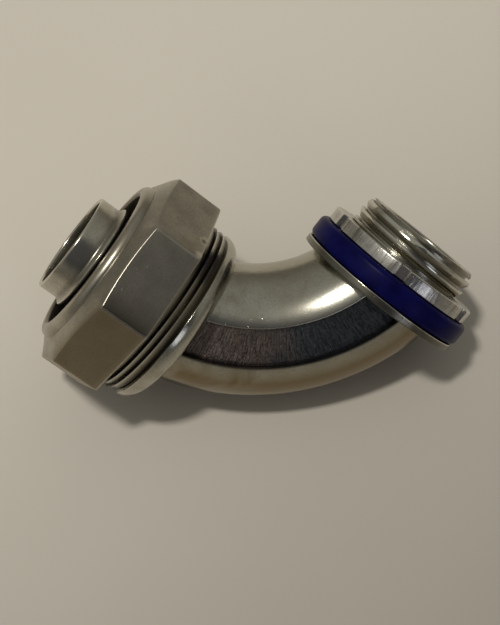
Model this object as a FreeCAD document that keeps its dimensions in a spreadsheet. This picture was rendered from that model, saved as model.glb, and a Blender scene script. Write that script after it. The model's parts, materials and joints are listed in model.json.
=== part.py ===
import FreeCAD, Part
import math
import os
import re
import Sketcher
from FreeCAD import Placement, Rotation, Vector

# Liquidtight elbow connector, lying on the outside of its bend as it comes to rest, with both mouths raised.
# Origin at the centre of the hub's end face. The hub points along +Y and the conduit enters along -X,
# before the whole is leaned over to its rest.
# Distances along both axes are measured from the point where the two axes cross.

SIZES = {
    # elbow casting, hub side
    "hub_reach": 34.3,
    "hub_thread_diameter": 21.2,
    "hub_thread_length": 10.7,
    "hub_lead_length": 1.6,
    "hub_lead_depth": 0.8,
    "hub_bore_diameter": 15.6,
    "flange_diameter": 29.1,
    "flange_thickness": 1.2,
    "flange_rounding": 0.4,
    # elbow casting, bent tube
    "bend_radius": 30.0,
    "tube_diameter": 21.3,
    "passage_diameter": 14.2,
    "band_width": 6.1,
    "band_depth": 1.25,
    "band_end_gap": 0.4,
    # elbow casting, conduit socket
    "socket_back": 21.6,
    "socket_length": 10.0,
    "socket_diameter": 30.5,
    "socket_bore_diameter": 24.4,
    "socket_floor": 2.4,
    "shoulder_radius": 2.8,
    # gland nut
    "nut_standoff": 6.85,
    "nut_across_flats": 33.9,
    "nut_flat_length": 8.0,
    "nut_shoulder_length": 1.9,
    "nut_collar_diameter": 29.6,
    "nut_nose_diameter": 28.5,
    "nut_nose_length": 1.4,
    "nut_nose_rounding": 0.9,
    "nut_mouth_diameter": 24.2,
    "nut_lip_length": 1.9,
    "nut_seat_length": 1.1,
    "nut_thread_length": 5.6,
    "thread_clearance": 0.2,
    # sealing ring inside the nut
    "seal_bore_diameter": 20.3,
    "seal_diameter": 27.2,
    "seal_length": 3.0,
    "seal_taper_length": 1.1,
    "seal_clearance": 0.25,
    # ferrule
    "ferrule_diameter": 16.7,
    "ferrule_wall": 0.75,
    "ferrule_length": 20.05,
    "ferrule_skirt_length": 3.8,
    "ferrule_clearance": 0.2,
    "bead_height": 0.7,
    "bead_width": 1.0,
    "bead_top": 0.4,
    "bead_from_rim": 3.7,
    # gasket and locknut on the hub
    "gasket_diameter": 29.2,
    "gasket_thickness": 3.6,
    "gasket_rounding": 0.9,
    "locknut_diameter": 27.1,
    "locknut_thickness": 2.3,
    "locknut_chamfer": 0.3,
    "notch_width": 1.9,
    "notch_depth": 0.85,
    "ring_clearance": 0.25,
    "seat_gap": 0.05,
}

# Degrees: how far nut and locknut have been turned, and how far each axis points up at rest
ANGLES = {
    "nut_turn": 19.0,
    "locknut_turn": 17.0,
    "conduit_lift": 28.29,
    "hub_lift": 27.48,
}
NOTCH_COUNT = 6
NUT_SIDES = 8
HALF_SIDE = 180 / NUT_SIDES

# Places along the conduit axis
SOCKET_END = "socket_back + socket_length"
SOCKET_FLOOR = "socket_back + socket_floor"
NUT_BACK = "socket_back + nut_standoff"
NUT_FLAT_END = f"{NUT_BACK} + nut_flat_length"
NUT_COLLAR = f"{NUT_FLAT_END} + nut_shoulder_length"
NUT_FRONT = f"{NUT_COLLAR} + nut_nose_length"
NUT_LIP = f"{NUT_FRONT} - nut_lip_length"
NUT_SEAT = f"{NUT_LIP} - nut_seat_length"
NUT_THREAD_END = f"{NUT_BACK} + nut_thread_length"
SEAL_FRONT = f"{NUT_LIP} - seat_gap"
SEAL_SHOULDER = f"{SEAL_FRONT} - seal_taper_length"
SEAL_BACK = f"{SEAL_SHOULDER} - seal_length"
FERRULE_RIM = f"{SOCKET_FLOOR} + ferrule_length"
BEAD_FRONT = f"{FERRULE_RIM} - bead_from_rim"
BEAD_BACK = f"{BEAD_FRONT} - bead_width"

# Places along the hub axis
FLANGE_FRONT = "hub_reach - hub_thread_length"
FLANGE_BACK = f"{FLANGE_FRONT} - flange_thickness"
FLANGE_MIDDLE = f"{FLANGE_FRONT} - flange_thickness / 2"
GASKET_BACK = f"{FLANGE_FRONT} + seat_gap"
GASKET_FRONT = f"{GASKET_BACK} + gasket_thickness"
LOCKNUT_BACK = f"{GASKET_FRONT} + seat_gap"

doc = FreeCAD.newDocument("liquidtight_elbow_connector")
sheet = doc.addObject("Spreadsheet::Sheet", "Sizes")
for row, (name, number) in enumerate([*SIZES.items(), *ANGLES.items()], start=1):
    sheet.set(f"A{row}", name)
    sheet.set(f"B{row}", str(number))
    sheet.setAlias(f"B{row}", name)
doc.recompute()

SIZE_NAME = re.compile(r"\b(" + "|".join([*SIZES, *ANGLES]) + r")\b")


def bound(text):
    """The expression as other objects write it, with the sheet's name before each size."""
    return SIZE_NAME.sub(r"Sizes.\1", text)


def value(text):
    """What the expression comes to with the sheet's numbers."""
    return float(sheet.evalExpression(text))


def new_body(label):
    body = doc.addObject("PartDesign::Body", label)
    body.Label = label
    return body


def new_sketch(body, name, plane, offset=Placement()):
    """An empty sketch on one of the body's own origin planes."""
    sketch = body.newObject("Sketcher::SketchObject", name)
    planes = [feature for feature in body.Origin.OriginFeatures if feature.Role == plane]
    sketch.AttachmentSupport = (planes[0], [""])
    sketch.MapMode = "FlatFace"
    sketch.AttachmentOffset = offset
    return sketch


def bind(sketch, constraint, text):
    """Adds a constraint whose value follows the expression."""
    number = sketch.addConstraint(constraint)
    sketch.setExpression(f"Constraints[{number}]", bound(text))


def place_along(sketch, geometry, end, kind, text):
    """Ties one coordinate of a geometry's end; a leading minus is a place below zero."""
    if text == "0":
        axis = -2 if kind == "DistanceX" else -1
        sketch.addConstraint(Sketcher.Constraint("PointOnObject", geometry, end, axis))
    elif text.startswith("-"):
        distance = text[1:]
        bind(sketch, Sketcher.Constraint(kind, geometry, end, -1, 1, value(distance)), distance)
    else:
        bind(sketch, Sketcher.Constraint(kind, -1, 1, geometry, end, value(text)), text)


def place_point(sketch, geometry, end, x_text, y_text):
    place_along(sketch, geometry, end, "DistanceX", x_text)
    place_along(sketch, geometry, end, "DistanceY", y_text)


def spot(point):
    """The point's place as a vector in the sketch."""
    return Vector(*[-value(text[1:]) if text.startswith("-") else value(text) for text in point], 0)


def draw_outline(sketch, points):
    """A closed outline of straight edges through points given as pairs of expressions."""
    first = sketch.GeometryCount
    count = len(points)
    for index, point in enumerate(points):
        after = points[(index + 1) % count]
        sketch.addGeometry(Part.LineSegment(spot(point), spot(after)))
    for index, point in enumerate(points):
        after = first + (index + 1) % count
        sketch.addConstraint(Sketcher.Constraint("Coincident", first + index, 2, after, 1))
        place_point(sketch, first + index, 1, *point)


def draw_circle(sketch, diameter, x_text="0", y_text="0"):
    centre = spot((x_text, y_text))
    circle = sketch.addGeometry(Part.Circle(centre, Vector(0, 0, 1), value(diameter) / 2))
    place_point(sketch, circle, 3, x_text, y_text)
    bind(sketch, Sketcher.Constraint("Diameter", circle, value(diameter)), diameter)


def rectangle(low_x, low_y, high_x, high_y):
    return [(low_x, low_y), (high_x, low_y), (high_x, high_y), (low_x, high_y)]


def revolve(body, name, sketch, axis="V_Axis", kind="PartDesign::Revolution", angle=360):
    feature = body.newObject(kind, name)
    feature.Profile = sketch
    feature.ReferenceAxis = (sketch, [axis])
    feature.Angle = angle
    doc.recompute()
    return feature


def ring(body, name, outline, kind="PartDesign::Revolution"):
    """Turns an outline of (radius, distance along the axis) pairs about the body's own Z axis."""
    sketch = new_sketch(body, f"{name}_outline", "XZ_Plane")
    draw_outline(sketch, outline)
    return revolve(body, name, sketch, kind=kind)


def round_edges(feature, radius, height):
    """Names of the full circles of that radius that lie at that height along the body's Z axis."""
    return circles_at(feature, radius, Vector(0, 0, height))


def circles_at(feature, radius, centre):
    names = []
    for number, edge in enumerate(feature.Shape.Edges, start=1):
        curve = edge.Curve
        if isinstance(curve, Part.Circle) and abs(curve.Radius - radius) < 1e-4:
            if curve.Center.distanceToPoint(centre) < 1e-4:
                names.append(f"Edge{number}")
    if not names:
        raise RuntimeError(f"{feature.Label}: no edge of radius {radius} at {centre}")
    return names


def dress(body, kind, name, feature, edges, size_property, text):
    """A fillet or chamfer on the named edges, with its size bound to the sheet."""
    dressing = body.newObject(f"PartDesign::{kind}", name)
    dressing.Base = (feature, edges)
    dressing.setExpression(size_property, bound(text))
    doc.recompute()
    return dressing


def lay_down(body, turned=Rotation()):
    """Places a body that was drawn about the crossing of the axes, leaned over as the connector rests."""
    conduit = math.sin(math.radians(value("conduit_lift")))
    hub = math.sin(math.radians(value("hub_lift")))
    level = math.sqrt(1 - conduit**2 - hub**2)
    lean = Placement(Vector(), Rotation(Vector(-conduit, hub, level), Vector(0, 0, 1)))
    body.Placement = lean.multiply(Placement(Vector(0, -value("hub_reach"), 0), turned))


def lay_on_conduit_axis(body, turn="0"):
    """Lays down a body that was turned about its own Z axis, on the conduit's axis."""
    onto_axis = Rotation(Vector(0, 1, 0), -90)
    lay_down(body, onto_axis.multiply(Rotation(Vector(0, 0, 1), value(turn))))


def lay_on_hub_axis(body, turn="0"):
    """Lays down a body that was turned about its own Z axis, on the hub's axis."""
    onto_axis = Rotation(Vector(1, 0, 0), -90)
    lay_down(body, onto_axis.multiply(Rotation(Vector(0, 0, 1), value(turn))))


def bend_outline(body, name, diameter):
    """A circle where the bend ends on the hub axis, with the bend's own axis as a construction line."""
    offset = Placement(Vector(0, 0, -value("bend_radius")), Rotation())
    sketch = new_sketch(body, name, "XZ_Plane", offset)
    sketch.setExpression("AttachmentOffset.Base.z", bound("-bend_radius"))
    draw_circle(sketch, diameter)
    low = Vector(-value("bend_radius"), -1, 0)
    high = Vector(-value("bend_radius"), 1, 0)
    line = sketch.addGeometry(Part.LineSegment(low, high), True)
    place_point(sketch, line, 1, "-bend_radius", "-tube_diameter")
    place_point(sketch, line, 2, "-bend_radius", "tube_diameter")
    return sketch


def draw_band(sketch):
    """The recessed band's plan: two arcs about the bend's centre, cut off beside flange and socket."""
    hub_end = f"{FLANGE_BACK} - band_end_gap"
    socket_end = "socket_back - band_end_gap"
    centre = Vector(-value("bend_radius"), value("bend_radius"), 0)
    arcs = []
    for side in ("-", "+"):
        radius = f"bend_radius {side} band_width / 2"
        start = -math.acos((value("bend_radius") - value(socket_end)) / value(radius))
        finish = -math.asin((value("bend_radius") - value(hub_end)) / value(radius))
        circle = Part.Circle(centre, Vector(0, 0, 1), value(radius))
        arc = sketch.addGeometry(Part.ArcOfCircle(circle, start, finish))
        place_point(sketch, arc, 3, "-bend_radius", "bend_radius")
        bind(sketch, Sketcher.Constraint("Radius", arc, value(radius)), radius)
        bind(sketch, Sketcher.Constraint("DistanceX", arc, 1, -1, 1, value(socket_end)), socket_end)
        bind(sketch, Sketcher.Constraint("DistanceY", -1, 1, arc, 2, value(hub_end)), hub_end)
        arcs.append(arc)
    inner, outer = arcs
    for end in (1, 2):
        corners = [sketch.getPoint(inner, end), sketch.getPoint(outer, end)]
        line = sketch.addGeometry(Part.LineSegment(*corners))
        sketch.addConstraint(Sketcher.Constraint("Coincident", line, 1, inner, end))
        sketch.addConstraint(Sketcher.Constraint("Coincident", line, 2, outer, end))


def cut_band(body, name, side):
    """One flat-floored recess in the tube's side, open outward; side is 1 above and -1 below."""
    floor = "tube_diameter / 2 - band_depth"
    offset = Placement(Vector(0, 0, side * value(floor)), Rotation())
    sketch = new_sketch(body, f"{name}_outline", "XY_Plane", offset)
    sketch.setExpression("AttachmentOffset.Base.z", bound(f"{side} * ({floor})"))
    draw_band(sketch)
    pocket = body.newObject("PartDesign::Pocket", name)
    pocket.Profile = sketch
    pocket.Type = "Length"
    pocket.setExpression("Length", bound("tube_diameter / 2"))
    pocket.Reversed = side > 0
    doc.recompute()
    return pocket


def make_elbow_body():
    body = new_body("elbow_body")

    # the bent tube, trimmed inside the flange and inside the socket's floor
    tube = revolve(body, "tube", bend_outline(body, "tube_outline", "tube_diameter"), "Axis0", angle=90)
    tube.Reversed = True
    ends = new_sketch(body, "tube_ends", "XY_Plane")
    inside_floor = "socket_back + socket_floor / 2"
    draw_outline(ends, rectangle("-tube_diameter", FLANGE_MIDDLE, "tube_diameter", "2 * bend_radius"))
    draw_outline(ends, rectangle("-(2 * bend_radius)", "-tube_diameter", f"-({inside_floor})", "tube_diameter"))
    trim = body.newObject("PartDesign::Pocket", "tube_trim")
    trim.Profile = ends
    trim.Type = "ThroughAll"
    trim.Midplane = True
    doc.recompute()

    # conduit socket
    socket_outline = new_sketch(body, "socket_outline", "XY_Plane")
    corners = rectangle(f"-({SOCKET_END})", "0", "-socket_back", "socket_diameter / 2")
    draw_outline(socket_outline, corners)
    revolve(body, "socket", socket_outline, "H_Axis")

    # flange and hub
    hub_outline = new_sketch(body, "hub_outline", "XY_Plane")
    draw_outline(hub_outline, [
        ("0", FLANGE_BACK),
        ("flange_diameter / 2", FLANGE_BACK),
        ("flange_diameter / 2", FLANGE_FRONT),
        ("hub_thread_diameter / 2", FLANGE_FRONT),
        ("hub_thread_diameter / 2", "hub_reach - hub_lead_length"),
        ("hub_thread_diameter / 2 - hub_lead_depth", "hub_reach"),
        ("0", "hub_reach"),
    ])
    hub = revolve(body, "hub", hub_outline)

    # rounded shoulder behind the socket, softened flange rim
    back = Vector(-value("socket_back"), 0, 0)
    edges = circles_at(hub, value("socket_diameter / 2"), back)
    shoulder = dress(body, "Fillet", "shoulder", hub, edges, "Radius", "shoulder_radius")
    rim = value("flange_diameter / 2")
    edges = circles_at(shoulder, rim, Vector(0, value(FLANGE_BACK), 0))
    edges += circles_at(shoulder, rim, Vector(0, value(FLANGE_FRONT), 0))
    dress(body, "Fillet", "flange_edges", shoulder, edges, "Radius", "flange_rounding")

    # recessed band on both sides of the bend
    cut_band(body, "band_above", 1)
    cut_band(body, "band_below", -1)

    # passage: the bend, then the hub's bore and the socket's bore
    passage = revolve(body, "passage", bend_outline(body, "passage_outline", "passage_diameter"), "Axis0",
                      "PartDesign::Groove", 90)
    passage.Reversed = True
    hub_bore_outline = new_sketch(body, "hub_bore_outline", "XY_Plane")
    draw_outline(hub_bore_outline, rectangle("0", FLANGE_MIDDLE, "hub_bore_diameter / 2", "hub_reach"))
    revolve(body, "hub_bore", hub_bore_outline, kind="PartDesign::Groove")
    socket_bore_outline = new_sketch(body, "socket_bore_outline", "XY_Plane")
    corners = rectangle(f"-({SOCKET_END})", "0", f"-({SOCKET_FLOOR})", "socket_bore_diameter / 2")
    draw_outline(socket_bore_outline, corners)
    revolve(body, "socket_bore", socket_bore_outline, "H_Axis", "PartDesign::Groove")

    lay_down(body)
    return body


def octagon_corner(radius, index):
    """The place of one corner of the nut's outline as a pair of expressions."""
    angle = HALF_SIDE + index * 2 * HALF_SIDE
    pair = []
    for ratio in (math.cos(math.radians(angle)), math.sin(math.radians(angle))):
        sign = "-" if ratio < 0 else ""
        pair.append(f"{sign}({radius}) * {abs(ratio):.9f}")
    return tuple(pair)


def draw_arcs(sketch, radius):
    """A circle in as many arcs as the nut has sides, each facing one side."""
    for index in range(NUT_SIDES):
        start = math.radians(HALF_SIDE + index * 2 * HALF_SIDE)
        circle = Part.Circle(Vector(), Vector(0, 0, 1), value(radius))
        arc = sketch.addGeometry(Part.ArcOfCircle(circle, start, start + math.radians(2 * HALF_SIDE)))
        sketch.addConstraint(Sketcher.Constraint("Coincident", arc, 3, -1, 1))
        place_point(sketch, arc, 1, *octagon_corner(radius, index))
        place_along(sketch, arc, 2, "DistanceX", octagon_corner(radius, index + 1)[0])


def level_sketch(body, name, height):
    """A sketch across the body's axis at a bound height."""
    sketch = new_sketch(body, name, "XY_Plane", Placement(Vector(0, 0, value(height)), Rotation()))
    sketch.setExpression("AttachmentOffset.Base.z", bound(height))
    return sketch


def make_gland_nut():
    body = new_body("gland_nut")
    corner_radius = f"nut_across_flats / 2 / {math.cos(math.radians(HALF_SIDE)):.9f}"
    outline = [octagon_corner(corner_radius, index) for index in range(NUT_SIDES)]

    # wrench flats
    flats_outline = level_sketch(body, "flats_outline", NUT_BACK)
    draw_outline(flats_outline, outline)
    flats = body.newObject("PartDesign::Pad", "flats")
    flats.Profile = flats_outline
    flats.setExpression("Length", bound("nut_flat_length"))
    doc.recompute()

    # shoulder that closes from the eight sides to the round collar
    shoulder_foot = level_sketch(body, "shoulder_foot", NUT_FLAT_END)
    draw_outline(shoulder_foot, outline)
    shoulder_top = level_sketch(body, "shoulder_top", NUT_COLLAR)
    draw_arcs(shoulder_top, "nut_collar_diameter / 2")
    doc.recompute()
    shoulder = body.newObject("PartDesign::AdditiveLoft", "nut_shoulder")
    shoulder.Profile = shoulder_foot
    shoulder.Sections = [shoulder_top]
    shoulder.Ruled = True
    doc.recompute()

    # rounded nose around the mouth
    nose_outline = level_sketch(body, "nose_outline", NUT_COLLAR)
    draw_circle(nose_outline, "nut_nose_diameter")
    nose = body.newObject("PartDesign::Pad", "nose")
    nose.Profile = nose_outline
    nose.setExpression("Length", bound("nut_nose_length"))
    doc.recompute()
    edges = round_edges(nose, value("nut_nose_diameter / 2"), value(NUT_FRONT))
    dress(body, "Fillet", "nose_rounding", nose, edges, "Radius", "nut_nose_rounding")

    # inside: thread bore, seat of the sealing ring, mouth
    thread = "socket_diameter / 2 + thread_clearance"
    cavity = "seal_diameter / 2 + seal_clearance"
    mouth = "nut_mouth_diameter / 2"
    ring(body, "nut_inside", [
        ("0", NUT_BACK),
        (thread, NUT_BACK),
        (thread, NUT_THREAD_END),
        (cavity, NUT_THREAD_END),
        (cavity, NUT_SEAT),
        (mouth, NUT_LIP),
        (mouth, NUT_FRONT),
        ("0", NUT_FRONT),
    ], "PartDesign::Groove")
    lay_on_conduit_axis(body, "nut_turn")
    return body


def make_sealing_ring():
    body = new_body("sealing_ring")
    outer = "seal_diameter / 2"
    inner = "seal_bore_diameter / 2"
    nose = "nut_mouth_diameter / 2 - seal_clearance"
    ring(body, "seal", [
        (inner, SEAL_BACK),
        (outer, SEAL_BACK),
        (outer, SEAL_SHOULDER),
        (nose, SEAL_FRONT),
        (inner, SEAL_FRONT),
    ])
    lay_on_conduit_axis(body)
    return body


def make_ferrule():
    body = new_body("ferrule")
    outer = "ferrule_diameter / 2"
    inner = "ferrule_diameter / 2 - ferrule_wall"
    bead = "ferrule_diameter / 2 + bead_height"
    skirt = "socket_bore_diameter / 2 - ferrule_clearance"
    skirt_inside = f"{skirt} - ferrule_wall"
    web = f"{SOCKET_FLOOR} + ferrule_wall"
    skirt_end = f"{SOCKET_FLOOR} + ferrule_skirt_length"
    ring(body, "ferrule_section", [
        (inner, SOCKET_FLOOR),
        (skirt, SOCKET_FLOOR),
        (skirt, skirt_end),
        (skirt_inside, skirt_end),
        (skirt_inside, web),
        (outer, web),
        (outer, BEAD_BACK),
        (bead, f"{BEAD_BACK} + (bead_width - bead_top) / 2"),
        (bead, f"{BEAD_FRONT} - (bead_width - bead_top) / 2"),
        (outer, BEAD_FRONT),
        (outer, FERRULE_RIM),
        (inner, FERRULE_RIM),
    ])
    lay_on_conduit_axis(body)
    return body


def make_hub_gasket():
    body = new_body("hub_gasket")
    inner = "hub_thread_diameter / 2 + ring_clearance"
    outer = "gasket_diameter / 2"
    gasket = ring(body, "gasket", rectangle(inner, GASKET_BACK, outer, GASKET_FRONT))
    edges = round_edges(gasket, value(outer), value(GASKET_BACK))
    edges += round_edges(gasket, value(outer), value(GASKET_FRONT))
    dress(body, "Fillet", "gasket_edges", gasket, edges, "Radius", "gasket_rounding")
    lay_on_hub_axis(body)
    return body


def make_locknut():
    body = new_body("locknut")
    blank_outline = level_sketch(body, "blank_outline", LOCKNUT_BACK)
    draw_circle(blank_outline, "locknut_diameter")
    draw_circle(blank_outline, "hub_thread_diameter + 2 * ring_clearance")
    blank = body.newObject("PartDesign::Pad", "blank")
    blank.Profile = blank_outline
    blank.setExpression("Length", bound("locknut_thickness"))
    doc.recompute()
    rim = value("locknut_diameter / 2")
    edges = round_edges(blank, rim, value(LOCKNUT_BACK))
    edges += round_edges(blank, rim, value(f"{LOCKNUT_BACK} + locknut_thickness"))
    dress(body, "Chamfer", "rim_chamfer", blank, edges, "Size", "locknut_chamfer")

    # notches for a driver around the rim
    notch_outline = level_sketch(body, "notch_outline", LOCKNUT_BACK)
    depth = "locknut_diameter / 2 - notch_depth"
    half = "notch_width / 2"
    draw_outline(notch_outline, rectangle(depth, f"-{half}", "locknut_diameter", half))
    notch = body.newObject("PartDesign::Pocket", "notch")
    notch.Profile = notch_outline
    notch.Type = "ThroughAll"
    notch.Midplane = True
    doc.recompute()
    notches = body.newObject("PartDesign::PolarPattern", "notches")
    notches.Originals = [notch]
    notches.Axis = (notch_outline, ["N_Axis"])
    notches.Angle = 360
    notches.Occurrences = NOTCH_COUNT
    body.Tip = notches
    doc.recompute()
    lay_on_hub_axis(body, "locknut_turn")
    return body


pieces = [
    make_elbow_body(),
    make_gland_nut(),
    make_sealing_ring(),
    make_ferrule(),
    make_hub_gasket(),
    make_locknut(),
]
doc.recompute()

for item in doc.Objects:
    if "Invalid" in item.State or "Error" in item.State:
        raise RuntimeError(f"{item.Label} failed to recompute: {item.State}")

os.makedirs("parts", exist_ok=True)
for piece in pieces:
    if piece.Shape.isNull() or not piece.Shape.isValid():
        raise RuntimeError(f"{piece.Label} has no valid shape")
    piece.Shape.exportStep(f"parts/{piece.Label}.step")
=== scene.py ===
"""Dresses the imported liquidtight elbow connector: detailed pieces, worn metal finishes and a stage."""
import json
import math

import bmesh
import bpy
import numpy as np
from bpy.props import FloatProperty, FloatVectorProperty, IntProperty, PointerProperty
from mathutils import Matrix, Vector


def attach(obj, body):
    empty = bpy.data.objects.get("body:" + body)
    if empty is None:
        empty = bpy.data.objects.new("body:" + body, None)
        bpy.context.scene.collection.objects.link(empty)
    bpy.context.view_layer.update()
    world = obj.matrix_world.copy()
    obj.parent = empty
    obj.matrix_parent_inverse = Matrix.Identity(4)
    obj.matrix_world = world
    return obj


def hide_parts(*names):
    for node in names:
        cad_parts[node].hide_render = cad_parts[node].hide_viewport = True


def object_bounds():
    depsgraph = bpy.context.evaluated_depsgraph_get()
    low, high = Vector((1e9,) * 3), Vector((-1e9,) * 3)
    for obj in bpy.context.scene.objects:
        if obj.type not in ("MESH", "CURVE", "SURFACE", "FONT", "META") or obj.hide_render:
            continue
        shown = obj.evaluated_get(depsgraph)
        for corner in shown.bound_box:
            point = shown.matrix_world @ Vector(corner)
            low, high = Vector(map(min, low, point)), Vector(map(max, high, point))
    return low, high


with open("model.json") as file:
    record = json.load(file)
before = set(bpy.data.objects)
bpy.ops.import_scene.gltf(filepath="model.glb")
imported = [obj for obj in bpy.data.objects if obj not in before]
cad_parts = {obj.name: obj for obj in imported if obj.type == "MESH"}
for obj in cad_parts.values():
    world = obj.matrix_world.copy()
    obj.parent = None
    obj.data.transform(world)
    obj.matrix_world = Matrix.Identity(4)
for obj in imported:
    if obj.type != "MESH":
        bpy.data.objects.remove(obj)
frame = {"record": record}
CAD_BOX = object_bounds()

bl_info = {
    "name": "Liquidtight Elbow Connector",
    "version": (1, 0, 0),
    "blender": (4, 5, 0),
    "location": "View3D > Sidebar > Connector",
    "description": "Builds the cast elbow, gland nut, ferrule, rings and locknut over the packed part",
    "category": "Add Mesh",
}

MM = 0.001
TURN = 2 * math.pi
MARKS = ("wear_and_highlight", "zone", "painted_shade", "stain_and_shade", "sweep", "across")
ARC_STEPS = 7
NUT_SIDES = 8

# The camera, as fitted to the photograph: its axes and place, and its focal length in pixels
PHOTO_HEIGHT = 625
FOCAL_PIXELS = 1200.8
SENSOR = 36.0
CAMERA_RIGHT = Vector((0.8012, 0.59799, -0.02201))
CAMERA_UP = Vector((-0.53504, 0.73236, 0.42116))
CAMERA_BACK = Vector((0.26797, -0.32566, 0.90672))
CAMERA_PLACE = Vector((35.682, -87.8, 169.065)) * MM


def mount(name):
    """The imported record's mount of that name."""
    return next(m for m in frame["record"]["mounts"] if m["name"] == name)


HUB = Vector(mount("hub_throat")["axis"]).normalized()
CONDUIT = Vector(mount("conduit_ferrule")["axis"]).normalized()
HUB_END = Vector(mount("hub_throat")["pos_m"])
FACE = HUB.cross(CONDUIT).normalized()


def length(label, text, millimetres):
    """A length that the user can change, given in millimetres."""
    return FloatProperty(name=label, description=text, default=millimetres * MM, min=0.0,
                         unit="LENGTH", precision=5)


def angle(label, text, degrees):
    """An angle that the user can change, given in degrees."""
    return FloatProperty(name=label, description=text, default=math.radians(degrees), subtype="ANGLE")


def colour(label, text, value):
    """A colour that the user can change."""
    return FloatVectorProperty(name=label, description=text, default=value, subtype="COLOR", size=3,
                               min=0.0, max=1.0)


def share(label, text, value):
    """A number between nothing and all."""
    return FloatProperty(name=label, description=text, default=value, min=0.0, max=1.0, subtype="FACTOR")


class ConnectorSizes(bpy.types.PropertyGroup):
    """Sizes of the connector; places along an axis are counted from where the two axes cross."""

    hub_reach: length("Hub reach", "From the axes' crossing to the hub's end face", 34.3)
    hub_crest: length("Hub thread radius", "Radius over the hub thread's crests", 10.6)
    hub_root: length("Hub root radius", "Radius at the hub thread's roots", 9.45)
    hub_bore: length("Hub bore radius", "Radius of the hub's throat", 7.8)
    hub_pitch: length("Hub thread pitch", "Fourteen threads to the inch", 1.8143)
    flange_back: length("Flange back", "Place of the cast flange's back face", 22.4)
    flange_front: length("Flange front", "Place of the cast flange's front face", 23.6)
    flange_radius: length("Flange radius", "Radius of the cast flange", 14.45)
    bend_radius: length("Bend radius", "Radius of the tube's centre line", 30.0)
    tube_radius: length("Tube radius", "Outside radius of the bent tube", 10.65)
    passage_radius: length("Passage radius", "Inside radius of the bent tube", 7.1)
    band_half_width: length("Band half width", "Half the width of the rough sunken band", 3.05)
    band_floor: length("Band floor", "Height of the band's floor over the bend plane", 9.4)
    socket_back: length("Socket back", "Place of the socket's back face", 21.6)
    socket_end: length("Socket end", "Place of the socket's open end", 31.6)
    socket_crest: length("Socket thread radius", "Radius over the socket thread's crests", 15.25)
    socket_root: length("Socket root radius", "Radius at the socket thread's roots", 14.3)
    socket_bore: length("Socket bore radius", "Radius of the socket's bore", 12.2)
    socket_floor: length("Socket floor", "Place of the socket's floor", 24.0)
    shoulder_round: length("Shoulder rounding", "Rounding of the socket's back edge", 2.8)
    socket_rim: length("Socket rim", "Place where the plain rim before the thread ends", 24.55)
    gland_pitch: length("Gland thread pitch", "Pitch of the socket's thread", 1.15)
    nut_back: length("Nut back", "Place of the gland nut's back face", 28.45)
    nut_flat_end: length("Nut flats' end", "Place where the nut's flats end", 36.45)
    nut_collar: length("Nut collar", "Place where the nut's shoulder meets its nose", 38.35)
    nut_front: length("Nut front", "Place of the nut's front face", 39.75)
    nut_half_flats: length("Nut half width", "Half the nut's width across flats", 16.95)
    nut_collar_radius: length("Nut collar radius", "Radius where the nut's shoulder ends", 14.8)
    nut_nose_radius: length("Nut nose radius", "Outside radius of the nut's nose", 14.25)
    nut_nose_round: length("Nut nose rounding", "Rounding of the nose's front edge", 1.2)
    nut_mouth: length("Nut mouth radius", "Radius of the nut's mouth", 12.1)
    nut_cavity: length("Nut cavity radius", "Radius of the space for the sealing ring", 13.85)
    nut_lip: length("Nut lip", "Place of the back of the mouth's lip", 37.85)
    nut_seat: length("Nut seat", "Place where the sealing ring's seat ends", 36.75)
    nut_thread_end: length("Nut thread end", "Place where the nut's thread ends", 34.05)
    nut_corner_round: length("Nut corner rounding", "Rounding of the nut's eight corners", 0.9)
    nut_turn: angle("Nut turn", "Angle by which the nut is turned from the bend plane", 19.0)
    gasket_back: length("Gasket back", "Place of the gasket's back face", 23.65)
    gasket_front: length("Gasket front", "Place of the gasket's front face", 27.25)
    gasket_radius: length("Gasket radius", "Outside radius of the gasket", 14.6)
    gasket_round: length("Gasket rounding", "Rounding of the gasket's outer edges", 0.9)
    ring_bore: length("Ring bore radius", "Bore of the gasket and the locknut", 10.85)
    locknut_back: length("Locknut back", "Place of the locknut's back face", 27.3)
    locknut_front: length("Locknut front", "Place of the locknut's front face", 29.6)
    locknut_radius: length("Locknut radius", "Outside radius of the locknut", 13.55)
    locknut_turn: angle("Locknut turn", "Angle by which the locknut is turned", 17.0)
    notch_count: IntProperty(name="Notches", description="Notches round the locknut", default=6, min=1)
    notch_depth: length("Notch depth", "Depth of the locknut's notches", 0.85)
    notch_width: length("Notch width", "Width of the locknut's notches", 1.9)
    seal_back: length("Seal back", "Place of the sealing ring's back face", 33.7)
    seal_front: length("Seal front", "Place of the sealing ring's front face", 37.8)
    seal_bore: length("Seal bore radius", "Bore of the sealing ring", 10.15)
    seal_radius: length("Seal radius", "Outside radius of the sealing ring", 13.6)
    seal_nose: length("Seal nose radius", "Radius of the sealing ring's front edge", 11.85)
    seal_taper: length("Seal taper", "Length of the sealing ring's tapered front", 1.1)
    ferrule_radius: length("Ferrule radius", "Outside radius of the ferrule", 8.35)
    ferrule_bore: length("Ferrule bore radius", "Inside radius of the ferrule", 7.6)
    ferrule_rim: length("Ferrule rim", "Place of the ferrule's open rim", 44.05)
    bead_height: length("Bead height", "How far the ferrule's bead stands out", 0.7)


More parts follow.
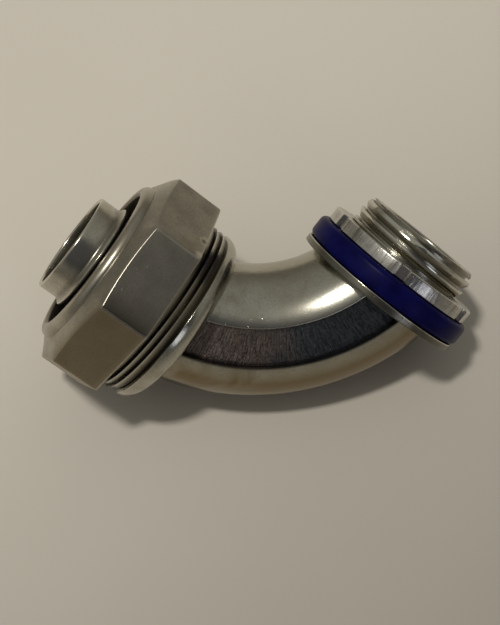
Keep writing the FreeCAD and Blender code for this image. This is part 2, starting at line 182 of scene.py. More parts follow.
class ConnectorFinish(bpy.types.PropertyGroup):
    """Colours of the connector's pieces, and how bright their worn edges and painted edge highlights are.
    """

    zinc: colour("Zinc", "Tumbled zinc of the casting", (0.55, 0.54, 0.475))
    zinc_dark: colour("Dull zinc", "Zinc where it has gone dull", (0.42, 0.40, 0.33))
    # The tarnish colour also paints brown shade under the tube and on the nut's lower flats.
    tarnish: colour("Tarnish", "Brownish stain on the zinc", (0.22, 0.17, 0.098))
    band: colour("Band", "Rough dark floor of the sunken band", (0.18, 0.15, 0.138))
    nut: colour("Nut", "Zinc of the gland nut", (0.45, 0.42, 0.355))
    steel: colour("Ferrule", "Plated steel of the ferrule", (0.56, 0.53, 0.455))
    plate: colour("Locknut", "Bright plate of the locknut", (0.58, 0.565, 0.53))
    gasket: colour("Gasket", "Blue plastic of the gasket", (0.0035, 0.0035, 0.058))
    seal: colour("Seal", "Blue plastic of the sealing ring", (0.003, 0.0025, 0.025))
    floor: colour("Floor", "Pale surface under the connector", (0.86, 0.805, 0.715))
    # Sets the brightness of worn edges and of the painted edge highlights that go with them.
    wear_and_highlight: share("Wear", "Brightness of worn edges", 0.75)


class Shell:
    """Points, faces and named marks of one closed skin."""

    def __init__(self, points, faces, **marks):
        self.points = np.asarray(points, float)
        self.faces = faces
        self.marks = {k: np.asarray(v, float) for k, v in marks.items()}

    def placed(self, place):
        """The same skin in the part's frame."""
        m = np.array(place)
        return Shell(self.points @ m[:3, :3].T + m[:3, 3], self.faces, **self.marks)


def columns(x, y, z, origin):
    """The matrix that carries a piece's own axes to these ones."""
    return Matrix([[x[i], y[i], z[i], origin[i]] for i in range(3)] + [[0, 0, 0, 1]])


def places(size):
    """Matrices of the bend plane, the gland axis and the hub axis."""
    crossing = HUB_END - HUB * size.hub_reach
    bend = columns(-CONDUIT, HUB, FACE, crossing)
    gland = columns(FACE, HUB, CONDUIT, crossing)
    spout = columns(-CONDUIT, -FACE, HUB, crossing)
    return bend, gland, spout


def soften(corners, step=0.7 * MM):
    """Rounds the corners of a closed outline. A corner is (across, along, rounding, wear_and_highlight,
    lobe), where wear_and_highlight is worn brightness that also paints a highlight along the rounding. Rows
    come out as (across, along, wear_and_highlight, lobe), with long runs divided."""
    rows = []
    for i, (a, b, radius, wear_and_highlight, lobe) in enumerate(corners):
        if radius <= 0:
            rows.append((a, b, wear_and_highlight, lobe, i))
            continue
        here = np.array([a, b])
        before = np.array(corners[i - 1][:2])
        after = np.array(corners[(i + 1) % len(corners)][:2])
        u = (before - here) / np.linalg.norm(before - here)
        v = (after - here) / np.linalg.norm(after - here)
        half = math.acos(max(-1.0, min(1.0, float(u @ v)))) / 2
        reach = radius / math.tan(half)
        centre = here + (u + v) / np.linalg.norm(u + v) * radius / math.sin(half)
        start = here + u * reach - centre
        end = here + v * reach - centre
        first = math.atan2(start[1], start[0])
        sweep = (math.atan2(end[1], end[0]) - first + math.pi) % TURN - math.pi
        for k in range(ARC_STEPS + 1):
            t = first + sweep * k / ARC_STEPS
            edge = wear_and_highlight * math.sin(math.pi * (k + 0.5) / (ARC_STEPS + 1))
            across = centre[0] + radius * math.cos(t)
            along = centre[1] + radius * math.sin(t)
            rows.append((across, along, edge, lobe, i))
    dense = []
    for i, row in enumerate(rows):
        follow = rows[(i + 1) % len(rows)]
        dense.append(row[:4])
        gap = math.hypot(follow[0] - row[0], follow[1] - row[1])
        parts = max(1, int(gap / step)) if row[4] != follow[4] else 1
        for k in range(1, parts):
            t = k / parts
            dense.append((row[0] + (follow[0] - row[0]) * t, row[1] + (follow[1] - row[1]) * t, 0.0,
                          row[3] + (follow[3] - row[3]) * t))
    return np.array(dense)


def grid_faces(rows, turns):
    """Quads of a grid that is closed both ways."""
    i, j = np.meshgrid(np.arange(rows), np.arange(turns), indexing="ij")
    below, right = (i + 1) % rows, (j + 1) % turns
    corners = [i * turns + j, i * turns + right, below * turns + right, below * turns + j]
    return np.stack(corners, -1).reshape(-1, 4)


def lathe(outline, around, lobe=None, slide=None, shade_rule=None, stain_and_shade=None):
    """Turns a closed outline of (radius, place, wear_and_highlight, lobe) rows about its axis. The lobe
    function adds to the radius where the outline's lobe share says so, slide moves points along the axis,
    shade_rule marks painted shade and stain_and_shade marks a brown tone, which is painted shade under the
    tube and on the nut's lower flats.
    The last three are given the rows and the angles."""
    shape = (len(outline), len(around))
    radius = np.broadcast_to(outline[:, :1], shape)
    along = np.broadcast_to(outline[:, 1:2], shape)
    if lobe is not None:
        radius = radius + outline[:, 3:4] * lobe(around)
    if slide is not None:
        along = along + slide(outline, around)
    points = np.stack([radius * np.cos(around), radius * np.sin(around), along], -1).reshape(-1, 3)
    marks = {"wear_and_highlight": outline[:, 2:3]}
    for name, rule in (("painted_shade", shade_rule), ("stain_and_shade", stain_and_shade)):
        if rule is not None:
            marks[name] = rule(outline, around)
    spread = {name: np.broadcast_to(value, shape).ravel() for name, value in marks.items()}
    return Shell(points, grid_faces(*shape), **spread)


def even_turn(count):
    """Evenly spaced angles once round."""
    return np.arange(count) * TURN / count


def bent_tube(size, steps=72):
    """The bent tube with its two sunken bands, between the socket and the flange."""
    half, floor, tube = size.band_half_width, size.band_floor, size.tube_radius
    into_socket, into_flange = 1.2 * MM, 0.6 * MM
    edge_round, wall_reach = 0.16 * MM, 0.26 * MM
    top = math.sqrt(tube ** 2 - half ** 2)
    lip = math.acos(half / tube)
    corners = []
    for side in (1, -1):
        ends = lip - np.array([0.022, 0.06])
        sweep = np.concatenate([[-ends[0]], np.linspace(-ends[1], ends[1], 44), [ends[0]]])
        for t in sweep:
            corners.append((side * tube * math.cos(t), side * tube * math.sin(t), 0, 0, 0))
        for a, b in ((half, top), (half, floor), (-half, floor), (-half, top)):
            # The inner lip's top edge is given a painted highlight; the other three corners mark the band's
            # zone.
            bright = a * side < 0 and b == top
            corners.append((side * a, side * b, edge_round, float(bright), float(not bright)))
    rows = soften(corners, step=0.5 * MM)
    across, height = rows[:, 0], rows[:, 1]
    turn = np.arctan2(height, across)
    inner = np.stack([size.passage_radius * np.cos(turn), size.passage_radius * np.sin(turn)], -1)
    skins = []
    for a, b in ((across, height), (inner[:, 0], inner[:, 1])):
        rho = size.bend_radius + a
        first = -np.arccos((size.bend_radius - size.socket_back - into_socket) / rho)
        last = -np.arcsin((size.bend_radius - size.flange_back - into_flange) / rho)
        t = first[None, :] + (last - first)[None, :] * np.linspace(0, 1, steps + 1)[:, None]
        skins.append(np.stack([rho * np.cos(t) - size.bend_radius, size.bend_radius + rho * np.sin(t),
                               np.ones_like(t) * b], -1))
    loop = np.concatenate([skins[0], skins[1][::-1]], 0)
    count = len(across)
    swept = np.linspace(0, 1, steps + 1)

    def outer(values, passage=0.0):
        """A mark on the tube's outside, and one value all over the passage's wall."""
        outside = np.broadcast_to(values, (steps + 1, count)).ravel()
        return np.concatenate([outside, np.full(outside.size, passage)])

    # Painted shade on the band's side walls, and over the whole passage wall inside the tube.
    walls = 0.92 * ((np.abs(across - half) < wall_reach) & (np.abs(height) > floor - 0.03 * MM))
    # Brown painted shade on the tube's outer, lower side, and a little along its inner edge, fading towards
    # the socket.
    under = np.maximum(0.95 * np.clip((across - 0.30 * tube) / (0.30 * tube), 0, 1),
                       0.2 * np.clip((-across - 0.60 * tube) / (0.25 * tube), 0, 1))
    fade = 0.5 + 0.5 * np.minimum(1, 2.5 * swept)
    return Shell(loop.reshape(-1, 3), grid_faces(len(loop), count),
                 wear_and_highlight=outer(rows[:, 2]), zone=outer(rows[:, 3]), painted_shade=outer(walls, 0.8),
                 stain_and_shade=outer(np.outer(fade, under)), across=outer(across),
                 sweep=np.tile(np.repeat(swept, count), 2))


def socket_ring(size):
    """The round socket with its rounded shoulder, without the thread's ridge."""
    outline = soften([
        (size.passage_radius, size.socket_back + 0.3 * MM, 0, 0, 0),
        (size.socket_crest, size.socket_back + 0.02 * MM, size.shoulder_round, 0, 0),
        (size.socket_crest, size.socket_rim, 0.08 * MM, 0.7, 0),
        (size.socket_root, size.socket_rim + 0.4 * MM, 0.15 * MM, 0, 0),
        (size.socket_root, size.socket_end, 0.25 * MM, 0.6, 0),
        (size.socket_bore, size.socket_end, 0.2 * MM, 0.6, 0),
        (size.socket_bore, size.socket_floor, 0.2 * MM, 0, 0),
        (size.passage_radius, size.socket_floor, 0.2 * MM, 0, 0),
    ])

    # Painted shade at the thread's root behind the plain rim.
    def shade_rule(rows, around):
        low = np.abs(rows[:, 0] - size.socket_root) < 0.3 * MM
        return (0.95 * (low & (rows[:, 1] > size.socket_rim + 0.05 * MM)))[:, None]

    return lathe(outline, even_turn(160), shade_rule=shade_rule)


def hub_ring(size):
    """The thin cast flange and the hub behind its thread."""
    outline = soften([
        (size.passage_radius, size.flange_back + 0.02 * MM, 0, 0, 0),
        (size.flange_radius, size.flange_back + 0.02 * MM, 0.15 * MM, 0, 0),
        (size.flange_radius, size.flange_front - 0.24 * MM, 0, 0, 0),
        (size.flange_radius, size.flange_front, 0.12 * MM, 0.9, 0),
        (size.flange_radius - 0.3 * MM, size.flange_front, 0, 0, 0),
        (size.hub_root, size.flange_front, 0.3 * MM, 0, 0),
        (size.hub_root, size.hub_reach, 0.1 * MM, 0.4, 0),
        (size.hub_bore, size.hub_reach, 0.4 * MM, 0.6, 0),
        (size.hub_bore, size.flange_back + 0.6 * MM, 0.1 * MM, 0, 0),
        (size.passage_radius, size.flange_back + 0.6 * MM, 0.1 * MM, 0, 0),
    ], step=0.35 * MM)

    # Painted shade on the flange's rim and back face, in the bore and at the hub thread's root.
    def shade_rule(rows, around):
        radius, along = rows[:, 0], rows[:, 1]
        rim = (radius > size.flange_radius - 0.12 * MM) & (along < size.flange_front - 0.16 * MM)
        behind = (along < size.flange_back + 0.1 * MM) & (radius < size.flange_radius - 0.6 * MM)
        inside = radius < size.hub_bore + 0.1 * MM
        groove = (np.abs(radius - size.hub_root) < 0.15 * MM) & (along > size.flange_front + 0.2 * MM)
        return (0.72 * rim + 0.6 * behind + 0.5 * inside + 0.5 * groove)[:, None]

    return lathe(outline, even_turn(160), shade_rule=shade_rule)


def thread_tree():
    """Geometry Nodes tree of a screw thread's ridge: a helix that a tapered section follows, with ends that
    fade away."""
    tree = bpy.data.node_groups.new("screw_thread_ridge", "GeometryNodeTree")
    face = tree.interface
    for label, kind, value in (
            ("Radius", "NodeSocketFloat", 0.01), ("Pitch", "NodeSocketFloat", 0.001),
            ("Turns", "NodeSocketFloat", 4.0), ("Foot Width", "NodeSocketFloat", 0.001),
            ("Crest Width", "NodeSocketFloat", 0.0002), ("Height", "NodeSocketFloat", 0.001),
            ("Fade", "NodeSocketFloat", 0.1), ("Steps Per Turn", "NodeSocketInt", 96)):
        socket = face.new_socket(label, in_out="INPUT", socket_type=kind)
        socket.default_value = value
    face.new_socket("Ridge", in_out="OUTPUT", socket_type="NodeSocketGeometry")

    def node(kind, links=(), **settings):
        made = tree.nodes.new(kind)
        for key, value in settings.items():
            setattr(made, key, value)
        for name, source in links:
            target = made.inputs[name]
            if isinstance(source, bpy.types.NodeSocket):
                tree.links.new(source, target)
            else:
                target.default_value = source
        return made

    given = node("NodeGroupInput").outputs
    rise = node("ShaderNodeMath", [(0, given["Pitch"]), (1, given["Turns"])], operation="MULTIPLY")
    spiral = node("GeometryNodeCurveSpiral", [
        ("Resolution", given["Steps Per Turn"]), ("Rotations", given["Turns"]),
        ("Start Radius", given["Radius"]), ("End Radius", given["Radius"]), ("Height", rise.outputs[0])])
    upright = node("GeometryNodeSetCurveNormal", [("Curve", spiral.outputs[0])], mode="Z_UP")
    along = node("GeometryNodeSplineParameter").outputs["Factor"]
    rest = node("ShaderNodeMath", [(0, 1.0), (1, along)], operation="SUBTRACT")
    nearest = node("ShaderNodeMath", [(0, along), (1, rest.outputs[0])], operation="MINIMUM")
    swell = node("ShaderNodeMapRange", [
        ("Value", nearest.outputs[0]), ("From Min", 0.0), ("From Max", given["Fade"]),
        ("To Min", 0.05), ("To Max", 1.0)], interpolation_type="SMOOTHSTEP")
    sized = node("GeometryNodeSetCurveRadius", [
        ("Curve", upright.outputs[0]), ("Radius", swell.outputs[0])])
    section = node("GeometryNodeCurvePrimitiveQuadrilateral", [
        ("Bottom Width", given["Foot Width"]), ("Top Width", given["Crest Width"]),
        ("Height", given["Height"]), ("Offset", 0.0)], mode="TRAPEZOID")
    fine = node("GeometryNodeSubdivideCurve", [("Curve", section.outputs[0]), ("Cuts", 3)])
    ridge = node("GeometryNodeCurveToMesh", [
        ("Curve", sized.outputs[0]), ("Profile Curve", fine.outputs[0]), ("Fill Caps", True)])
    node("NodeGroupOutput", [("Ridge", ridge.outputs[0])])
    return tree


def grown(tree, values):
    """The plain mesh that a Geometry Nodes tree gives for these input values."""
    carrier = bpy.data.objects.new("ridge_carrier", bpy.data.meshes.new("ridge_carrier"))
    bpy.context.scene.collection.objects.link(carrier)
    modifier = carrier.modifiers.new("ridge", "NODES")
    modifier.node_group = tree
    names = {s.name: s.identifier for s in tree.interface.items_tree if s.in_out == "INPUT"}
    for label, value in values.items():
        modifier[names[label]] = value
    bpy.context.view_layer.update()
    graph = bpy.context.evaluated_depsgraph_get()
    mesh = bpy.data.meshes.new_from_object(carrier.evaluated_get(graph))
    carrier.modifiers.remove(modifier)
    bpy.data.objects.remove(carrier)
    return mesh


def skin_from(mesh):
    """Points and faces of a plain mesh."""
    points = np.empty(len(mesh.vertices) * 3)
    mesh.vertices.foreach_get("co", points)
    return points.reshape(-1, 3), [tuple(p.vertices) for p in mesh.polygons]


def piece(name, skins, material, body, nodes, sharp=35):
    """One finished object from its skins, with faces turned outwards, that rides its body in place of the
    CAD nodes."""
    form = bmesh.new()
    layers = {k: form.verts.layers.float.new(k) for k in MARKS}
    for skin in skins:
        made = [form.verts.new(p) for p in skin.points]
        for key, layer in layers.items():
            if key in skin.marks:
                for vert, value in zip(made, skin.marks[key]):
                    vert[layer] = value
        faces = [form.faces.new([made[i] for i in face]) for face in skin.faces]
        bmesh.ops.recalc_face_normals(form, faces=faces)
    mesh = bpy.data.meshes.new(name)
    form.to_mesh(mesh)
    form.free()
    mesh.shade_smooth()
    mesh.set_sharp_from_angle(angle=math.radians(sharp))
    mesh.materials.append(material)
    made = bpy.data.objects.new(name, mesh)
    bpy.context.scene.collection.objects.link(made)
    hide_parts(*nodes)
    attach(made, body)


class Wire:
    """A value on its way through a finish; sums on it add Math nodes."""

    def __init__(self, finish, socket):
        self.finish = finish
        self.socket = socket

    def sum(self, operation, first, second):
        """One Math node on two values."""
        return self.finish.node("ShaderNodeMath", {"operation": operation}, {0: first, 1: second})

    def __add__(self, other):
        return self.sum("ADD", self, other)

    def __radd__(self, other):
        return self.sum("ADD", other, self)

    def __sub__(self, other):
        return self.sum("SUBTRACT", self, other)

    def __rsub__(self, other):
        return self.sum("SUBTRACT", other, self)

    def __mul__(self, other):
        return self.sum("MULTIPLY", self, other)

    def __rmul__(self, other):
        return self.sum("MULTIPLY", other, self)


class Nodes:
    """A node tree under construction."""

    def __init__(self, tree):
        self.tree = tree
        self.tree.nodes.clear()

    def node(self, kind, settings=None, sockets=None, output=0):
        """Adds a node: its settings first, then the values or links of its sockets; gives one output."""
        made = self.tree.nodes.new(kind)
        for key, value in (settings or {}).items():
            setattr(made, key, value)
        for key, value in (sockets or {}).items():
            self.feed(made.inputs[key], value)
        return Wire(self, made.outputs[output])

    def feed(self, socket, value):
        """Links or sets one socket."""
        if isinstance(value, Wire):
            self.tree.links.new(value.socket, socket)
        elif socket.type == "RGBA" and len(value) == 3:
            socket.default_value = (*value, 1.0)
        else:
            socket.default_value = value

    def range(self, value, low, high, to_low=0.0, to_high=1.0):
        """Maps a value's range onto another, held at its ends."""
        return self.node("ShaderNodeMapRange", {"clamp": True, "interpolation_type": "SMOOTHSTEP"}, {
            "Value": value, "From Min": low, "From Max": high, "To Min": to_low, "To Max": to_high})

    def dot(self, first, second):
        """How far one vector reaches along another."""
        return self.node("ShaderNodeVectorMath", {"operation": "DOT_PRODUCT"}, {0: first, 1: second},
                         output="Value")

    def mix(self, share, first, second):
        """Blends two colours."""
        return self.node("ShaderNodeMix", {"data_type": "RGBA", "clamp_factor": True},
                         {0: share, 6: first, 7: second}, output=2)


class Finish(Nodes):
    """A procedural material under construction."""

    def __init__(self, name):
        self.material = bpy.data.materials.new(name)
        self.material.use_nodes = True
        super().__init__(self.material.node_tree)
        self.shader = self.tree.nodes.new("ShaderNodeBsdfPrincipled")
        out = self.tree.nodes.new("ShaderNodeOutputMaterial")
        self.tree.links.new(self.shader.outputs[0], out.inputs["Surface"])
        self.place = self.node("ShaderNodeTexCoord", output="Object")

    def set(self, **values):
        """Sets or links the shader's own sockets."""
        for key, value in values.items():
            self.feed(self.shader.inputs[key.replace("_", " ")], value)

    def noise(self, scale, detail, rough, twist=0.0, shift=(0, 0, 0)):
        """Cloudy noise, from nothing to all; its scale is per metre."""
        spot = self.node("ShaderNodeMapping", {}, {"Vector": self.place, "Location": shift})
        return self.node("ShaderNodeTexNoise", {"noise_dimensions": "3D"}, {
            "Vector": spot, "Scale": scale, "Detail": detail, "Roughness": rough, "Distortion": twist})

    def mark(self, name):
        """A mark that was put on the mesh's points."""
        return self.node("ShaderNodeAttribute", {"attribute_name": name}, output="Fac")

    def bump(self, height, distance, strength):
        """Relief that feeds the shader's normal."""
        normal = self.node("ShaderNodeBump", {}, {
            "Height": height, "Strength": strength, "Distance": distance}, output="Normal")
        self.set(Normal=normal)


def scaled(tone, factor):
    """A colour made darker or lighter."""
    return tuple(min(1.0, factor * c) for c in tone)


def add_knocks(made, spots, tone, shade, height):
    """Small knocks at the given spots: a bright brim and, where it is deep, a dark hole."""
    for place, reach, deep in spots:
        away = made.node("ShaderNodeVectorMath", {"operation": "DISTANCE"}, {0: made.place, 1: place},
                         output="Value")
        away = away + (made.noise(1300, 3, 0.7) - 0.5) * (1.8 * reach)
        brim = made.range(away, 0.5 * reach, 1.3 * reach, 1.0, 0.0)
        shade = made.mix(brim * 0.75, shade, scaled(tone, 1.5))
        height = height + brim * 1.5
        if deep:
            # The dark in a deep knock's hole is painted shade.
            hole = made.range(away, 0.1 * reach, 0.75 * reach, 1.0, 0.0)
            shade = made.mix(hole * 0.65, shade, (0.03, 0.025, 0.02))
            height = height - hole * 4.0
    return shade, height


def add_streaks(made, streak, tone, stain_and_shade, shade, height):
    """Dark and bright streaks along an axis, where the zone mark says so."""
    run = made.dot(made.place, streak)
    drawn = made.node("ShaderNodeVectorMath", {"operation": "SCALE"}, {0: streak, "Scale": run * 0.88})
    flat = made.node("ShaderNodeVectorMath", {"operation": "SUBTRACT"}, {0: made.place, 1: drawn})
    lines = made.node("ShaderNodeTexNoise", {"noise_dimensions": "3D"}, {
        "Vector": flat, "Scale": 900.0, "Detail": 3.0, "Roughness": 0.65, "Distortion": 0.3})
    rim = made.mark("zone")
    dark = made.range(lines, 0.52, 0.68) * 0.7 * rim
    bright = made.range(lines, 0.34, 0.46, 1.0, 0.0) * 0.5 * rim
    shade = made.mix(dark, shade, scaled(stain_and_shade, 0.4))
    shade = made.mix(bright, shade, scaled(tone, 1.3))
    return shade, height + lines * rim * 2.5


def add_band(made, band, cloud, painted_shade, shade, roughness, height):
    """A rough dark band with fine marks across it, warm at its socket end and cool at its flange end."""
    zone = made.mark("zone")
    sweep = made.mark("sweep")
    course = made.node("ShaderNodeCombineXYZ", {}, {0: sweep * 150.0, 1: made.mark("across") * 420.0})
    brushed = made.node("ShaderNodeTexNoise", {"noise_dimensions": "2D"}, {
        "Vector": course, "Scale": 1.0, "Detail": 3.0, "Roughness": 0.75, "Distortion": 0.4})
    speck = made.noise(2400, 3, 0.75, shift=(1.3, 0.2, 2.2))
    grit = made.range(brushed * 0.55 + speck * 0.45, 0.33, 0.67)
    warm = made.mix(grit, scaled(band, 0.45), scaled(band, 1.7))
    cool = made.mix(grit, (0.032, 0.038, 0.046), (0.125, 0.138, 0.158))
    floor = made.mix(made.range(sweep + (cloud - 0.5) * 0.5, 0.30, 0.62), warm, cool)
    rust = made.range(made.noise(420, 2, 0.6, shift=(0.7, 2.6, 1.9)), 0.58, 0.72) * 0.3
    floor = made.mix(rust * made.range(sweep, 0.3, 0.6, 1.0, 0.0), floor, (0.16, 0.085, 0.040))
    # Painted shade darkens the band's walls over its rough floor.
    shade = made.mix(zone, shade, made.mix(painted_shade * 0.92, floor, (0.012, 0.011, 0.010)))
    roughness = roughness + zone * (0.14 + 0.12 * speck)
    return shade, roughness, height + zone * (speck * 4.0 + brushed * 7.0)


def zinc_finish(name, tone, dull, finish, rough, cloudy, band=None, spots=(), streak=None):
    """Tumbled zinc: fine grain, slightly clouded tone, brown tarnish patches and brown painted shade where
    the stain_and_shade mark says so, chipped bright edges that also paint edge highlights, and near-black
    painted shade in the hollows where the painted_shade mark says so. Knocks, streaks along an axis and a
    rough dark band come on top where they are asked for."""
    made = Finish(name)
    stain_and_shade = tuple(finish.tarnish)
    cloud = made.noise(260, 4, 0.6)
    grain = made.noise(3600, 3, 0.75)
    patch = made.noise(95, 3, 0.6, twist=0.8, shift=(3.1, 1.7, 0.4))
    pits = made.range(made.noise(1700, 3, 0.7, shift=(0.3, 0.9, 0.1)), 0.67, 0.76)
    wear_and_highlight = made.mark("wear_and_highlight")
    painted_shade = made.mark("painted_shade")
    shade = made.mix(made.range(cloud, 0.32, 0.70) * cloudy, tone, dull)
    shade = made.mix(made.range(grain, 0.44, 0.68) * 0.40, shade, scaled(dull, 0.5))
    # Brown tarnish patches, plus brown painted shade where the mark asks for it.
    shade = made.mix(made.range(patch, 0.50, 0.74) * 0.45 + made.mark("stain_and_shade"), shade, stain_and_shade)
    shade = made.mix(pits * 0.6, shade, scaled(dull, 0.3))
    # Painted shade: hollows, recesses and one side of the nut's flats go near black.
    shade = made.mix(painted_shade * 0.92, shade, (0.030, 0.023, 0.015))
    chipped = 0.45 + 0.55 * made.range(grain, 0.35, 0.60)
    # Bright worn edges, which also paint edge highlights.
    shade = made.mix(wear_and_highlight * finish.wear_and_highlight * chipped, shade, scaled(tone, 1.45))
    roughness = rough + 0.07 * cloud + 0.12 * grain + pits * 0.15 + painted_shade * 0.12 - wear_and_highlight * 0.06
    height = grain * 0.25 + cloud * 0.1 - pits * 0.6
    shade, height = add_knocks(made, spots, tone, shade, height)
    if streak is not None:
        shade, height = add_streaks(made, streak, tone, stain_and_shade, shade, height)
    if band is not None:
        shade, roughness, height = add_band(made, band, cloud, painted_shade, shade, roughness, height)
    made.set(Base_Color=shade, Roughness=roughness, Metallic=1.0)
    made.bump(height, 0.045 * MM, 0.75)
    return made.material


def plastic_finish(name, tone, rough):
    """Moulded dark blue plastic with faint flow marks and a little dust."""
    made = Finish(name)
    flow = made.noise(400, 3, 0.5)
    dust = made.range(made.noise(2500, 2, 0.6), 0.62, 0.80)
    tinted = made.mix(made.range(flow, 0.3, 0.7), scaled(tone, 0.75), scaled(tone, 1.25))
    dusty = made.mix(dust * 0.08, tinted, (0.05, 0.05, 0.10))
    made.set(Base_Color=dusty, Roughness=rough + 0.12 * flow + 0.2 * dust, Specular_IOR_Level=0.06)
    made.bump(flow * 1.0 + dust * 0.4, 0.02 * MM, 0.5)
    return made.material


def sizes():
    """The sizes that are set in the open scene."""
    return bpy.context.scene.connector_sizes


def finishes():
    """The finishes that are set in the open scene."""
    return bpy.context.scene.connector_finish


class ElbowCasting(bpy.types.Operator):
    """Builds the cast elbow: bent tube with sunken bands, threaded socket, flange and threaded hub"""

    bl_idname = "connector.elbow_casting"
    bl_label = "Elbow casting"

    def execute(self, context):
        size, finish = sizes(), finishes()
        bend, gland, spout = places(size)
        material = zinc_finish("tumbled_zinc", tuple(finish.zinc), tuple(finish.zinc_dark), finish,
                               rough=0.09, cloudy=0.6, band=tuple(finish.band))
        tree = thread_tree()
        socket_thread = self.ridge(
            tree, size.socket_root, size.socket_crest, size.gland_pitch,
            size.socket_rim + 0.3 * MM, size.socket_end - 0.6 * MM, fade=0.35, root_shade=3.0)
        hub_thread = self.ridge(
            tree, size.hub_root, size.hub_crest, size.hub_pitch,
            size.flange_front + 0.4 * MM, size.hub_reach + 1.5 * MM, fade=0.3, root_shade=0.35)
        self.cut_end(hub_thread, size.hub_reach - 0.01 * MM, size.hub_crest, 1.6 * MM)
        skins = [bent_tube(size).placed(bend), socket_ring(size).placed(gland),
                 hub_ring(size).placed(spout), socket_thread.placed(gland), hub_thread.placed(spout)]
        piece("elbow_casting", skins, material, "elbow", ["elbow_body"])
        return {"FINISHED"}

    def cut_end(self, ridge, end, crest, lead):
        """Flattens a thread's ridge against the hub's end face and its tapered lead-in."""
        away = np.hypot(ridge.points[:, 0], ridge.points[:, 1])
        ridge.points[:, 2] = np.minimum(ridge.points[:, 2], end)
        near = np.clip((ridge.points[:, 2] - end + lead) / lead, 0, 1)
        turn = np.arctan2(ridge.points[:, 1], ridge.points[:, 0])
        waves = np.sin(9 * turn + 0.4) + np.sin(23 * turn + 1.3) + np.sin(41 * turn)
        worn = 0.10 * waves * np.minimum(1, 2 * near)
        limit = crest - (0.8 * near + np.maximum(worn, 0)) * MM
        ridge.points[:, :2] *= np.minimum(1, limit / away)[:, None]

    def ridge(self, tree, root, crest, pitch, start, end, fade, root_shade):
        """A thread's ridge along its axis, with a worn crest that also carries a painted highlight, painted
        shade on its flanks towards the root and a brown tone on its flanks.
        """
        sink = 0.25 * MM
        turns = (end - start) / pitch
        mesh = grown(tree, {
            "Radius": (root - sink + crest) / 2, "Pitch": pitch, "Turns": turns, "Fade": fade / turns,
            "Foot Width": 1.02 * pitch, "Crest Width": 0.06 * pitch, "Height": crest - root + sink,
            "Steps Per Turn": 96})
        points, faces = skin_from(mesh)
        bpy.data.meshes.remove(mesh)
        if len(points) == 0:
            raise RuntimeError("the thread's ridge came out empty")
        away = np.hypot(points[:, 0], points[:, 1])
        points = points * np.array([-1, -1, 1]) + np.array([0, 0, start])
        rise = np.clip((away - root) / (crest - root), 0, 1)
        top = rise ** 8
        # Crests are brightened as worn metal and painted highlight, and flanks take painted shade towards
        # the root.
        return Shell(points, faces, wear_and_highlight=0.8 * top, painted_shade=1 - rise ** root_shade, stain_and_shade=0.5 * (1 - top))


